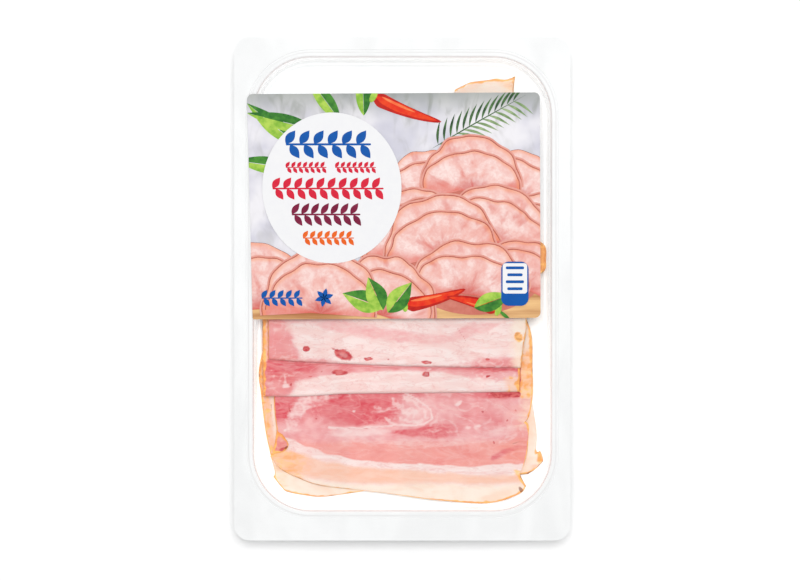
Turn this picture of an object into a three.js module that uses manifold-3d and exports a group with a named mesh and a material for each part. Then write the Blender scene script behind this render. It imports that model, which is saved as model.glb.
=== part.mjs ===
import * as THREE from "three";
import { mergeVertices } from "three/addons/utils/BufferGeometryUtils.js";
import Module from "manifold-3d";

// Flat retail pack of sliced smoked bacon, lying with its front up: a shallow white thermoformed
// tray with a wide rim, six overlapping slices, a clear film sealed over the rim and a printed
// label stuck on the film. Millimetres, +Z up, +Y towards the pack's top edge, origin on the
// table under the middle of the pack.

// Tray
const PACK_WIDTH = 140;
const PACK_LENGTH = 210;
const PACK_CORNER = 6.5;
const MOUTH_WIDTH = 124;
const MOUTH_LENGTH = 189;
const MOUTH_CORNER = 24;
const MOUTH_SHIFT = 1.9; // the rim is wider at the bottom edge, where the pack is peeled open
const TRAY_HEIGHT = 10;
const TRAY_WALL = 0.5;
const LIP_RADIUS = 1.2;
const FLOOR_FILLET = 1.6;
const WALL_LEAN = 0.8; // how far the wall slopes in between the lip and the floor
const CORNER_STEPS = 5;
const FILLET_STEPS = 3;

// Film and label. Each corner of the label has its place and its rounding.
const FILM = 0.3;
const LABEL = 0.2;
const LABEL_CORNERS = [
  { at: [-62.3, -12.9], radius: 0.8 },
  { at: [57.6, -12.2], radius: 2.4 },
  { at: [57.3, 81.7], radius: 2.4 },
  { at: [-64.7, 81.0], radius: 2.4 },
];

// Slices
const SLICE = 1.5;
const SLICE_GAP = 0.3;
const DRAPE = 18; // how far from a slice's edge the one above it takes to come down to its level
const SLICE_COLUMNS = 22;
const SLICE_ROWS = 16;

// Each slice is a patch between four smooth edges, from the lowest in the pile to the highest.
// low and high run from left to right, left and right run upwards.
const PILE = [
  {
    name: "slice_1_lowest",
    low: [[-54.5, -79], [-48.5, -85.6], [-34, -87.6], [0, -83], [52, -78], [59.4, -72.4]],
    right: [[59.4, -72.4], [56.6, -68], [56.2, -57], [50, -22]],
    high: [[-57, -20], [50, -22]],
    left: [[-54.5, -79], [-54.7, -70], [-58.7, -45.6], [-60.1, -33], [-57, -20]],
  },
  {
    name: "slice_2_front",
    low: [[-55.2, -70.6], [-43, -79.8], [-16.8, -85.1], [19.1, -89.2], [39.7, -89.5], [52, -83]],
    right: [[52, -83], [50.8, -76.5], [53, -60], [54.8, -44], [54.2, -19], [50, -8]],
    high: [[-54, -8], [50, -8]],
    left: [[-55.2, -70.6], [-52.8, -60], [-53.9, -45], [-54, -8]],
  },
  {
    name: "slice_3",
    low: [[-58.2, -45.2], [-41.5, -45.2], [-1.4, -43.9], [49.3, -43.3]],
    right: [[49.3, -43.3], [49.6, -10], [49, 30]],
    high: [[-57, 30], [49, 30]],
    left: [[-58.2, -45.2], [-58.6, -15], [-57, 30]],
  },
  {
    name: "slice_4",
    low: [[-56.1, -29.6], [-23.4, -31.5], [-1.4, -32.4], [49.8, -33.2]],
    right: [[49.8, -33.2], [50, 0], [49, 45]],
    high: [[-55, 45], [49, 45]],
    left: [[-56.1, -29.6], [-56.2, 0], [-55, 45]],
  },
  {
    name: "slice_5",
    low: [[-53, -8], [51, -9]],
    right: [[51, -9], [54, 3], [59.8, 8], [59.8, 18], [54, 24], [50, 45], [48, 70]],
    high: [[-54, 66], [48, 70]],
    left: [[-53, -8], [-55, 30], [-54, 66]],
  },
  {
    name: "slice_6_top",
    low: [[-51, 10], [49, 12]],
    right: [[49, 12], [48.4, 50], [46.8, 80], [47.4, 89.6]],
    high: [[-50, 64], [-12, 74], [19.3, 81.3], [27, 86], [40, 88.2], [47.4, 89.6]],
    left: [[-51, 10], [-52, 40], [-50, 64]],
  },
];

// The front slice's left corner, folded back on itself
const FOLDED_SLICE = "slice_2_front";
const FOLD = { x: -51.2, y: -64.2, halfWidth: 3.4, halfLength: 6, height: 1.1, turn: 0.35 };
const FOLD_INSET = 0.1; // how far the mound's underside stays above the slice's
const MERGE_DISTANCE = 0.001;

const wasm = await Module();
wasm.setup();

const finishes = {
  tray: { color: 0xf7f8f8, roughness: 0.45 },
  film: { color: 0xffffff, roughness: 0.08, transparent: true, opacity: 0.2 },
  label: { color: 0xeaa89c, roughness: 0.35 },
  meat: { color: 0xf3a3a0, roughness: 0.4 },
};

function named(name, geometry, finish) {
  const material = new THREE.MeshStandardMaterial({ ...finishes[finish], metalness: 0 });
  const mesh = new THREE.Mesh(geometry, material);
  mesh.name = name;
  return mesh;
}

// Outline of a rounded rectangle, anticlockwise, with the same number of points at every size.
function roundedRectangle(halfWidth, halfLength, radius, centreY) {
  const x = halfWidth - radius;
  const y = halfLength - radius;
  const quarter = Math.PI / 2;
  const shape = new THREE.Shape();
  shape.absarc(x, centreY + y, radius, 0, quarter);
  shape.absarc(-x, centreY + y, radius, quarter, 2 * quarter);
  shape.absarc(-x, centreY - y, radius, 2 * quarter, 3 * quarter);
  shape.absarc(x, centreY - y, radius, 3 * quarter, 4 * quarter);
  return shape;
}

const packOutline = () => roundedRectangle(PACK_WIDTH / 2, PACK_LENGTH / 2, PACK_CORNER, 0);

// The tray mouth's outline moved inwards by inset, as a ring of points at height z.
function mouthRing(inset, z) {
  const outline = roundedRectangle(
    MOUTH_WIDTH / 2 - inset,
    MOUTH_LENGTH / 2 - inset,
    MOUTH_CORNER - inset,
    MOUTH_SHIFT,
  );
  return { z, points: outline.getPoints(CORNER_STEPS) };
}

// One closed body through a row of rings that have the same number of points, capped at both ends.
function loft(rings) {
  const count = rings[0].points.length;
  const positions = rings.flatMap(({ points, z }) => points.flatMap((p) => [p.x, p.y, z]));
  const index = [];
  for (let r = 0; r + 1 < rings.length; r++) {
    for (let i = 0; i < count; i++) {
      const a = r * count + i;
      const b = r * count + ((i + 1) % count);
      index.push(a, b, b + count, a, b + count, a + count);
    }
  }
  const last = (rings.length - 1) * count;
  for (const [a, b, c] of THREE.ShapeUtils.triangulateShape(rings[0].points, [])) {
    index.push(a, c, b);
    index.push(last + a, last + b, last + c);
  }
  const geometry = new THREE.BufferGeometry();
  geometry.setAttribute("position", new THREE.Float32BufferAttribute(positions, 3));
  geometry.setIndex(index);
  return geometry;
}

// Rings down one skin of the tray from the rim: over the lip, down the wall and round to the floor.
// offset is 0 for the inside and the wall's thickness for the outside.
function traySkin(offset) {
  const rings = [];
  for (let i = 0; i <= FILLET_STEPS; i++) {
    const angle = (i / FILLET_STEPS) * (Math.PI / 2);
    const radius = LIP_RADIUS - offset;
    const inset = -LIP_RADIUS + radius * Math.sin(angle);
    rings.push(mouthRing(inset, TRAY_HEIGHT - LIP_RADIUS + radius * Math.cos(angle)));
  }
  for (let i = 0; i <= FILLET_STEPS; i++) {
    const angle = (i / FILLET_STEPS) * (Math.PI / 2);
    const radius = FLOOR_FILLET + offset;
    const inset = WALL_LEAN + FLOOR_FILLET - radius * Math.cos(angle);
    rings.push(mouthRing(inset, TRAY_WALL + FLOOR_FILLET - radius * Math.sin(angle)));
  }
  return rings;
}

function trayGeometry() {
  const edge = packOutline().getPoints(CORNER_STEPS);
  return loft([
    ...traySkin(TRAY_WALL).reverse(),
    { z: TRAY_HEIGHT - TRAY_WALL, points: edge },
    { z: TRAY_HEIGHT, points: edge },
    ...traySkin(0),
  ]);
}

function plate(shape, z, thickness) {
  const options = { depth: thickness, bevelEnabled: false, curveSegments: CORNER_STEPS };
  return new THREE.ExtrudeGeometry(shape, options).translate(0, 0, z);
}

function labelOutline() {
  const shape = new THREE.Shape();
  LABEL_CORNERS.forEach(({ at, radius }, i) => {
    const corner = new THREE.Vector2(...at);
    const [before, after] = [3, 1].map((step) => {
      const other = new THREE.Vector2(...LABEL_CORNERS[(i + step) % 4].at);
      return other.sub(corner).setLength(radius).add(corner);
    });
    if (i === 0) shape.moveTo(before.x, before.y);
    else shape.lineTo(before.x, before.y);
    shape.quadraticCurveTo(corner.x, corner.y, after.x, after.y);
  });
  shape.closePath();
  return shape;
}

// Where a point (u, v) of the unit square lies on a slice: a Coons patch between its four edges.
function patch(slice) {
  const [low, right, high, left] = [slice.low, slice.right, slice.high, slice.left].map(
    (points) => new THREE.SplineCurve(points.map((p) => new THREE.Vector2(...p))),
  );
  const corners = { lowLeft: low.getPoint(0), lowRight: low.getPoint(1) };
  Object.assign(corners, { highLeft: high.getPoint(0), highRight: high.getPoint(1) });
  return (u, v) => {
    const point = new THREE.Vector2();
    point.addScaledVector(low.getPointAt(u), 1 - v);
    point.addScaledVector(high.getPointAt(u), v);
    point.addScaledVector(left.getPointAt(v), 1 - u);
    point.addScaledVector(right.getPointAt(v), u);
    point.addScaledVector(corners.lowLeft, -(1 - u) * (1 - v));
    point.addScaledVector(corners.lowRight, -u * (1 - v));
    point.addScaledVector(corners.highRight, -u * v);
    point.addScaledVector(corners.highLeft, -(1 - u) * v);
    return point;
  };
}

// Height of the pile's top above the tray floor at (x, y): each slice below adds its thickness on
// its own area, which fades out over the drape beside it.
function pileHeight(x, y, areas) {
  return areas.reduce((sum, area) => {
    const away = area.distanceToPoint(new THREE.Vector2(x, y));
    return sum + (SLICE + SLICE_GAP) * (1 - THREE.MathUtils.smoothstep(away, 0, DRAPE));
  }, SLICE_GAP);
}

// A slice as a thin closed body that lies on the slices below it.
function sliceGeometry(slice, areas) {
  const place = patch(slice);
  const geometry = new THREE.BoxGeometry(1, 1, 1, SLICE_COLUMNS, SLICE_ROWS, 1);
  const position = geometry.getAttribute("position");
  for (let i = 0; i < position.count; i++) {
    const { x, y } = place(position.getX(i) + 0.5, position.getY(i) + 0.5);
    const lift = position.getZ(i) > 0 ? SLICE : 0;
    position.setXYZ(i, x, y, TRAY_WALL + pileHeight(x, y, areas) + lift);
  }
  return geometry;
}

function areaOf(geometry) {
  geometry.computeBoundingBox();
  const { min, max } = geometry.boundingBox;
  return new THREE.Box2(new THREE.Vector2(min.x, min.y), new THREE.Vector2(max.x, max.y));
}

function solidOf(geometry) {
  const bare = geometry.index ? geometry.toNonIndexed() : geometry.clone();
  bare.deleteAttribute("normal");
  bare.deleteAttribute("uv");
  const merged = mergeVertices(bare, MERGE_DISTANCE);
  const mesh = new wasm.Mesh({
    numProp: 3,
    vertProperties: new Float32Array(merged.getAttribute("position").array),
    triVerts: new Uint32Array(merged.index.array),
  });
  return new wasm.Manifold(mesh);
}

function geometryOf(solid) {
  const mesh = solid.getMesh();
  const geometry = new THREE.BufferGeometry();
  geometry.setAttribute("position", new THREE.Float32BufferAttribute(mesh.vertProperties, 3));
  geometry.setIndex(new THREE.Uint32BufferAttribute(mesh.triVerts, 1));
  geometry.computeVertexNormals();
  return geometry;
}

function joined(first, second) {
  return geometryOf(solidOf(first).add(solidOf(second)));
}

// The front slice's corner, folded back over itself: a low soft mound whose underside stays within
// the slice.
function foldGeometry(areas) {
  const middle = TRAY_WALL + pileHeight(FOLD.x, FOLD.y, areas) + SLICE / 2;
  const geometry = new THREE.SphereGeometry(1, 14, 8).rotateX(Math.PI / 2);
  const position = geometry.getAttribute("position");
  for (let i = 0; i < position.count; i++) {
    const z = position.getZ(i);
    position.setZ(i, z > 0 ? z * (FOLD.height + SLICE / 2) : z * (SLICE / 2 - FOLD_INSET));
  }
  return geometry
    .scale(FOLD.halfWidth, FOLD.halfLength, 1)
    .rotateZ(FOLD.turn)
    .translate(FOLD.x, FOLD.y, middle);
}

function pile() {
  const areas = [];
  return PILE.map((slice) => {
    let geometry = sliceGeometry(slice, areas);
    const area = areaOf(geometry);
    if (slice.name === FOLDED_SLICE) geometry = joined(geometry, foldGeometry(areas));
    areas.push(area);
    return named(slice.name, geometry, "meat");
  });
}

const pack = new THREE.Group();
pack.add(named("tray", trayGeometry(), "tray"));
pack.add(...pile());
pack.add(named("lid_film", plate(packOutline(), TRAY_HEIGHT, FILM), "film"));
pack.add(named("label", plate(labelOutline(), TRAY_HEIGHT + FILM, LABEL), "label"));

export default pack;
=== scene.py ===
# Flat retail pack of sliced smoked bacon, seen from straight above with its front up.
# Lengths are in millimetres and turn into metres where a piece is finished.
import bisect
import math

import bmesh
import bpy
from mathutils import Matrix, Vector, noise


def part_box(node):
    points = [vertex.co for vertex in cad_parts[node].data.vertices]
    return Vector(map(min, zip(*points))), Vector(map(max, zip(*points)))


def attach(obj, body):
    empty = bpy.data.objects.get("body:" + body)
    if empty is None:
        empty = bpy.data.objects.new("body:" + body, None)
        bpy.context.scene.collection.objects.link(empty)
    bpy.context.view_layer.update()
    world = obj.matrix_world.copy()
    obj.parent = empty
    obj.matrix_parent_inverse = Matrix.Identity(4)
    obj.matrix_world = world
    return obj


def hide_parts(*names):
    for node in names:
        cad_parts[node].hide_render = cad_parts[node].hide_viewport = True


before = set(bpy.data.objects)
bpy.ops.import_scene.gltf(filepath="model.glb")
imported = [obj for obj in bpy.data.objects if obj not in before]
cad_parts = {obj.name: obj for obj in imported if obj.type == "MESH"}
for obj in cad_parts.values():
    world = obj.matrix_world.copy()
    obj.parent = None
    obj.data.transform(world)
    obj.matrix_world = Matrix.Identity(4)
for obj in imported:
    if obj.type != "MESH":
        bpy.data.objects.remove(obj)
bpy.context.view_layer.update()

# Camera and light: the photograph shows 333.3 mm of the rim's plane across its width
VIEW_WIDTH = 333.3
VIEW_CENTRE = (-0.94, -0.63)
LENS = 100
SENSOR = 36
KEY_PLACE = (0.08, 0.92, 3.92)  # metres, a large soft box a little towards the pack's top edge
KEY_SIZE = 2.1  # metres
KEY_POWER = 117  # watts
TENT_STRENGTH = 0.72
PAPER_HALF_WIDTH = 3  # metres
PAPER_DROP = 0.0002  # metres below the pack's foot

# Tray
PACK_WIDTH = 140
PACK_LENGTH = 210
PACK_CORNER = 6.5
MOUTH_WIDTH = 124
MOUTH_LENGTH = 189
MOUTH_CORNER = 24
MOUTH_SHIFT = 1.9
TRAY_HEIGHT = 10
TRAY_WALL = 0.5
LEDGE = 3.2  # width of the ledge between the seal groove and the mouth
LIP_RADIUS = 0.8
WALL_LEAN = 0.6
FLOOR_FILLET = 1.6
CORNER_STEPS = 16
SHARP_EDGE = math.radians(30)
WALL_PAINTED_GLOW = 0.27

# Film and label
FILM = 0.3
FILM_TOP = 10.28
SEAL_MARK = 2.2  # from the mouth to the outer mark of the sealing tool
SEAL_LINE = 0.42
SEAL_BEAD = 0.8  # each of two rings of melted seal along the mouth
LABEL = 0.08
PRINT_STEP = 0.002  # height between one printed shape and the next one over it
LABEL_CORNERS = [(-62.3, -12.9), (57.6, -12.2), (57.3, 81.7), (-64.7, 81.0)]
LABEL_ROUNDINGS = [0.8, 2.4, 2.4, 2.4]
LABEL_CORNER_STEPS = 8
LABEL_CORNER_CUT = 0.42  # share of its rounding that the print is cut off at a corner
PRINT_SHEEN = 0.04
PRINT_ROUGHNESS = 0.35

# Slices
SLICE = 1.5
SLICE_GAP = 0.3
DRAPE = 40  # how far the pile takes to sink beside a slice
EDGE_DROOP = 0.22  # a slice's edge hangs down to what it lies on
EDGE_ROUNDING = 1.1
FOLD_THICKNESS = 0.8


def colour(code):
    """The linear colour of an sRGB hex code."""
    channels = [int(code[i:i + 2], 16) / 255 for i in (1, 3, 5)]
    return (*(c / 12.92 if c <= 0.04045 else ((c + 0.055) / 1.055) ** 2.4 for c in channels), 1)


class Look:
    """A new material, or a new world, and the nodes it is made of."""

    def __init__(self, name, world=False, **shader_inputs):
        self.made = (bpy.data.worlds if world else bpy.data.materials).new(name)
        self.made.use_nodes = True
        self.tree = self.made.node_tree
        self.shader = self.tree.nodes["Background" if world else "Principled BSDF"]
        for key, value in shader_inputs.items():
            self.shader.inputs[key.replace("_", " ")].default_value = value

    def node(self, kind, inputs=None, **settings):
        """A shader node with its settings. An input takes a value, a colour's hex code or the socket
        of another node."""
        made = self.tree.nodes.new("ShaderNode" + kind)
        for name, value in settings.items():
            setattr(made, name, value)
        for name, value in (inputs or {}).items():
            if isinstance(value, bpy.types.NodeSocket):
                self.tree.links.new(value, made.inputs[name])
            else:
                made.inputs[name].default_value = colour(value) if isinstance(value, str) else value
        return made

    def mixed(self, factor, low, high):
        """The blend from low to high by factor, each a hex code or a socket."""
        return self.node("Mix", {0: factor, 6: low, 7: high}, data_type="RGBA").outputs[2]

    def place(self):
        """The place on the piece, in metres."""
        return self.node("TexCoord").outputs["Object"]

    def grain(self, size, stretch=(1, 1, 1), detail=3, distortion=0):
        """Noise whose grains are about size millimetres, longer along an axis with a smaller
        stretch."""
        scale = [1000 / size * part for part in stretch]
        place = self.node("Mapping", {"Vector": self.place(), "Scale": scale})
        inputs = {"Vector": place.outputs[0], "Scale": 1, "Detail": detail, "Distortion": distortion}
        return self.node("TexNoise", inputs).outputs["Fac"]

    def ranged(self, value, start, end):
        """0 where value is start, 1 where it is end, with a smooth rise between them."""
        inputs = {"Value": value, "From Min": start, "From Max": end, "To Min": 0, "To Max": 1}
        return self.node("MapRange", inputs, interpolation_type="SMOOTHSTEP").outputs["Result"]

    def worked(self, operation, first, second):
        return self.node("Math", {0: first, 1: second}, operation=operation).outputs[0]

    def part(self, value, share):
        return self.worked("MULTIPLY", value, share)

    def off_middle(self, value):
        """How far value is from one half, which is 0 along thin wandering lines of a noise."""
        return self.worked("ABSOLUTE", self.worked("SUBTRACT", value, 0.5), 0)

    def bumped(self, height, depth):
        """Relief, depth millimetres deep from height 0 to height 1."""
        bump = self.node("Bump", {"Height": height, "Distance": depth / 1000, "Strength": 1})
        self.tree.links.new(bump.outputs["Normal"], self.shader.inputs["Normal"])

    def toned(self, tone, slot="Base Color"):
        """The finished material or world, with its colour from a socket."""
        self.tree.links.new(tone, self.shader.inputs[slot])
        return self.made


def added(name, data):
    """A new object in the scene, for a mesh, a camera or a light."""
    made = bpy.data.objects.new(name, data)
    bpy.context.scene.collection.objects.link(made)
    return made


def finished(name, bm, materials, replaces=None):
    """The piece that a mesh in millimetres becomes, on the root body."""
    bmesh.ops.scale(bm, vec=(0.001, 0.001, 0.001), verts=bm.verts)
    mesh = bpy.data.meshes.new(name)
    bm.to_mesh(mesh)
    bm.free()
    mesh.shade_smooth()
    mesh.set_sharp_from_angle(angle=SHARP_EDGE)
    for material in materials:
        mesh.materials.append(material)
    piece = added(name, mesh)
    if replaces:
        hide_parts(replaces)
    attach(piece, "root")
    return piece


def smooth(value, start, end):
    """0 before start and 1 after end, with a smooth rise. It falls where end is below start."""
    share = min(max((value - start) / (end - start), 0), 1)
    return share * share * (3 - 2 * share)


def blurred(x, y, size, seed=0):
    """Smooth noise from -1 to 1 whose swells are about size millimetres."""
    return noise.noise(Vector((x / size, y / size, seed)))


# Studio: pale floor, soft light from above and a little from the pack's top edge


def make_studio():
    scene = bpy.context.scene
    scene.view_settings.view_transform = "Standard"
    camera_data = bpy.data.cameras.new("camera")
    camera_data.lens = LENS
    camera_data.sensor_width = SENSOR
    camera_data.clip_end = 10
    camera = added("camera", camera_data)
    height = TRAY_HEIGHT + VIEW_WIDTH * LENS / SENSOR
    camera.location = Vector((*VIEW_CENTRE, height)) / 1000
    scene.camera = camera

    scene.world = light_tent()

    key_data = bpy.data.lights.new("key", "AREA")
    key_data.size = KEY_SIZE
    key_data.energy = KEY_POWER
    key = added("key", key_data)
    key.location = KEY_PLACE
    key.rotation_euler = (-Vector(KEY_PLACE)).to_track_quat("-Z", "Y").to_euler()

    floor = bmesh.new()
    bmesh.ops.create_grid(floor, x_segments=2, y_segments=2, size=PAPER_HALF_WIDTH)
    mesh = bpy.data.meshes.new("floor")
    floor.to_mesh(mesh)
    floor.free()
    floor_piece = added("floor", mesh)
    floor_piece.location.z = -PAPER_DROP
    mesh.materials.append(white_paper())


def light_tent():
    """A white light tent with a grey hole overhead, where the camera looks in, so that glossy film
    and print keep their depth of colour."""
    look = Look("light_tent", world=True, Strength=TENT_STRENGTH)
    direction = look.node("TexCoord").outputs["Generated"]
    upward = look.node("SeparateXYZ", {"Vector": direction}).outputs["Z"]
    return look.toned(look.mixed(look.ranged(upward, 0.9, 0.975), "#FFFFFF", "#6E7073"), "Color")


def white_paper():
    """Seamless white paper roll, so pale that it burns out to pure white under the studio's light."""
    look = Look("white_paper_roll", Roughness=0.9)
    return look.toned(look.mixed(look.ranged(look.grain(40), 0.3, 0.7), "#E8E8E8", "#EAEAEA"))


# Materials


def thermoformed_plastic(name="white_polystyrene_thermoformed", glow=0):
    """White polystyrene sheet, drawn over a mould while soft: an even satin skin with long swells.
    The walls are drawn thin, and glow is a painted glow: an emission standing in for light through them,
    which lifts their shade."""
    glowing = {"Emission_Color": colour("#FFFFFF"), "Emission_Strength": glow}
    look = Look(name, Roughness=0.45, IOR=1.5, **glowing)
    cloud = look.ranged(look.grain(18, detail=2), 0.35, 0.65)
    look.bumped(look.grain(9, detail=4), 0.12)
    return look.toned(look.mixed(cloud, "#FAFBFB", "#FCFDFD"))


def lid_film(name, tint, painted_fold_shade_tint, haze=0):
    """Polyester lid film, sealed by heat: a thin mirror skin over whatever lies below it, with painted
    shade that makes it greyer in its soft folds, and milky by the share haze where the melted seal scatters
    light."""
    look = Look(name)
    look.tree.nodes.remove(look.shader)
    fold = look.grain(16, stretch=(1, 0.35, 1), detail=3, distortion=0.9)
    bump = look.node("Bump", {"Height": fold, "Distance": 0.0002, "Strength": 0.6})
    # Painted shade: the see-through colour turns greyer along the folds.
    shade = look.mixed(look.ranged(fold, 0.35, 0.65), tint, painted_fold_shade_tint)
    clear = look.node("BsdfTransparent", {"Color": shade})
    milk = look.node("BsdfDiffuse", {"Color": shade})
    body = look.node("MixShader", {0: haze, 1: clear.outputs[0], 2: milk.outputs[0]})
    sheen = {"Color": "#FFFFFF", "Roughness": 0.12, "Normal": bump.outputs["Normal"]}
    gloss = look.node("BsdfAnisotropic", sheen)
    facing = look.node("LayerWeight", {"Blend": 0.5, "Normal": bump.outputs["Normal"]})
    edge = look.worked("ADD", look.worked("POWER", facing.outputs["Facing"], 5), 0.001)
    skin = look.node("MixShader", {0: edge, 1: body.outputs[0], 2: gloss.outputs[0]})
    look.tree.links.new(skin.outputs[0], look.tree.nodes["Material Output"].inputs["Surface"])
    return look.made


def smoked_meat():
    """Cured, hot-smoked pork belly, cut by a rotary blade: moist lean with fine grain, waxy fat in
    soft-edged bands and a smoke-browned rind. The masks come from each slice's own mesh, and some also
    carry painted shade under the slices' edges and painted highlights."""
    look = Look(
        "smoked_pork_belly_sliced",
        Roughness=0.4,
        IOR=1.38,
        Specular_IOR_Level=0.15,
        Subsurface_Weight=0.1,
        Subsurface_Radius=(1.0, 0.45, 0.35),
        Subsurface_Scale=0.001,
    )
    fine = look.grain(1.3, stretch=(0.5, 1, 1), detail=6, distortion=0.5)
    streak = look.grain(3.2, stretch=(0.25, 1, 1), detail=5, distortion=0.9)
    cloud = look.grain(7, stretch=(0.6, 1, 1), detail=4, distortion=0.8)
    rough = look.worked("ADD", look.worked("SUBTRACT", fine, 0.5), look.worked("SUBTRACT", streak, 0.5))

    def mask(name, start, end, raggedness):
        """A slice's mask, made sharper and ragged by the grain."""
        value = look.node("Attribute", attribute_name=name).outputs["Fac"]
        return look.ranged(look.worked("ADD", value, look.part(rough, raggedness)), start, end)

    streaks = look.ranged(streak, 0.35, 0.65)
    clouds = look.ranged(cloud, 0.35, 0.7)
    specks = look.ranged(fine, 0.35, 0.65)
    marbling = look.off_middle(look.grain(6, stretch=(0.4, 1, 1), detail=5, distortion=1.3))
    threads = look.ranged(marbling, 0.04, 0.004)
    fat = mask("fat", 0.2, 0.8, 0.55)
    veining = look.off_middle(look.grain(3.6, stretch=(0.35, 1, 1), detail=6, distortion=1.6))
    fat_veins = look.worked("MULTIPLY", look.ranged(veining, 0.03, 0.003), fat)
    vein_and_shade_tone = look.mixed(look.ranged(fine, 0.4, 0.6), "#B0343D", "#C85F5E")
    rind_tone = look.mixed(look.ranged(streak, 0.4, 0.6), "#F6BC6C", "#E59A52")
    # The lean mask also carries painted shade under the slices' edges.
    body = look.mixed(mask("lean", 0, 1, 0.35), "#DFADAC", "#CB4853")
    for share, tone in (
        (mask("salmon", 0, 1, 0.35), "#DD8B7F"),
        (look.part(streaks, 0.2), "#E3C2BD"),
        (look.part(clouds, 0.16), "#C64857"),
        (look.part(specks, 0.14), "#E3BCB9"),
        (look.part(threads, 0.16), "#E3BCB9"),
        # The pale mask also carries painted highlights.
        (look.part(mask("pale", 0.1, 0.9, 0.7), 0.85), "#E2C8C5"),
        (fat, look.mixed(look.part(streaks, 0.8), "#E3D0CC", "#DFBCB7")),
        (look.part(fat_veins, 0.28), "#CE8583"),
        (mask("peach", 0.1, 0.9, 0.5), look.mixed(streaks, "#E2B099", "#E3BCAA")),
        (mask("cream", 0.1, 0.9, 0.45), look.mixed(clouds, "#E4D5C8", "#E3C8B6")),
        # The blood mask also carries painted shade under the slices' edges.
        (mask("blood", 0.25, 0.65, 0.2), vein_and_shade_tone),
        (look.part(mask("rind", 0.15, 0.85, 0.6), 0.92), rind_tone),
        (look.part(mask("char", 0.25, 0.75, 0.6), 0.75), "#7D4227"),
    ):
        body = look.mixed(share, body, tone)
    look.bumped(look.worked("ADD", fine, streak), 0.06)
    return look.toned(body)


# Tray


def round_corners(bm, corners, radius, segments):
    bmesh.ops.bevel(
        bm,
        geom=corners,
        offset=radius,
        offset_type="OFFSET",
        segments=segments,
        profile=0.5,
        affect="VERTICES",
        material=-1,
    )


def rounded_plate(bm, width, length, corner, centre_y, height, segments):
    """A flat face with round corners."""
    before = set(bm.faces)
    made = bmesh.ops.create_grid(bm, x_segments=1, y_segments=1, size=0.5)["verts"]
    bmesh.ops.scale(bm, vec=(width, length, 1), verts=made)
    bmesh.ops.translate(bm, vec=(0, centre_y, height), verts=made)
    round_corners(bm, made, corner, segments)
    return max((face for face in bm.faces if face not in before), key=lambda face: len(face.verts))


def inset_face(bm, face, width):
    """A ring of faces inside a face's outline, and the face made smaller."""
    made = bmesh.ops.inset_region(
        bm, faces=[face], thickness=width, use_boundary=True, use_even_offset=True
    )
    return made["faces"]


def reach_rim(bm, width, length, corner):
    """Faces from a mesh's outline, of the given size, out to the pack's outline, corner to corner."""
    outline = [edge for edge in bm.edges if edge.is_boundary]
    made = bmesh.ops.extrude_edge_only(bm, edges=outline)["geom"]
    for vert in made:
        if isinstance(vert, bmesh.types.BMVert):
            side = Vector((math.copysign(1, vert.co.x), math.copysign(1, vert.co.y - MOUTH_SHIFT)))
            inner = Vector((width / 2 - corner, length / 2 - corner)) * side + Vector((0, MOUTH_SHIFT))
            outer = Vector((PACK_WIDTH / 2 - PACK_CORNER, PACK_LENGTH / 2 - PACK_CORNER)) * side
            vert.co.xy = outer + (vert.co.xy - inner) * PACK_CORNER / corner
    return [face for face in made if isinstance(face, bmesh.types.BMFace)]


def look_up(bm, level):
    """Turns a sheet's faces to one side, so that the face named level looks up."""
    bmesh.ops.recalc_face_normals(bm, faces=bm.faces)
    if level.normal.z < 0:
        bmesh.ops.reverse_faces(bm, faces=bm.faces)


def make_tray():
    """Rim, seal groove, rolled lip, sloping wall and floor, from the rim inwards."""
    bm = bmesh.new()
    size = (MOUTH_WIDTH + 2 * LEDGE, MOUTH_LENGTH + 2 * LEDGE, MOUTH_CORNER + LEDGE)
    floor = rounded_plate(bm, *size, MOUTH_SHIFT, TRAY_HEIGHT, CORNER_STEPS)
    groove = [(0.2, -0.15), (0.25, 0), (0.2, 0.15), (LEDGE - LIP_RADIUS - 0.7, 0), (0.05, 0)]
    lip = turned(LIP_RADIUS, 0)
    drop = TRAY_HEIGHT - TRAY_WALL - LIP_RADIUS - FLOOR_FILLET
    wall = [(WALL_LEAN / 4, -drop / 4)] * 4
    fillet = turned(FLOOR_FILLET, math.pi / 2)
    level = len(groove) + len(lip) // 2
    # From the lip's inner half inwards the rings take the second slot, whose painted glow lifts their
    # shade.
    for i, (inset, rise) in enumerate(groove + lip + wall + fillet):
        for face in inset_face(bm, floor, inset):
            face.material_index = int(i >= level)
        bmesh.ops.translate(bm, vec=(0, 0, rise), verts=floor.verts)
    reach_rim(bm, *size)
    look_up(bm, floor)
    bm.normal_update()
    skin = {tuple(vert.co): vert.normal.copy() for vert in bm.verts}
    copied = bmesh.ops.extrude_face_region(bm, geom=bm.faces[:], use_keep_orig=True)["geom"]
    for item in copied:
        if isinstance(item, bmesh.types.BMVert):
            item.co -= skin[tuple(item.co)] * TRAY_WALL
        elif isinstance(item, bmesh.types.BMFace):
            item.material_index = 0
    bmesh.ops.recalc_face_normals(bm, faces=bm.faces)
    skins = [thermoformed_plastic(), thermoformed_plastic("white_polystyrene_wall_painted_glow", WALL_PAINTED_GLOW)]
    finished("thermoformed_tray", bm, skins, replaces="tray")


def turned(radius, start):
    """The insets and drops that take a ring round a quarter turn, level at one end, steep at the other.
    Start 0 begins level, as a lip does, and start pi / 2 begins steep, as a floor's fillet does."""
    steps = 6
    angles = [math.pi / 2 * i / steps for i in range(steps + 1)]
    if start:
        places = [(radius * (1 - math.cos(angle)), -radius * math.sin(angle)) for angle in angles]
    else:
        places = [(radius * math.sin(angle), radius * (math.cos(angle) - 1)) for angle in angles]
    return [(b[0] - a[0], b[1] - a[1]) for a, b in zip(places, places[1:])]


# Slices


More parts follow.
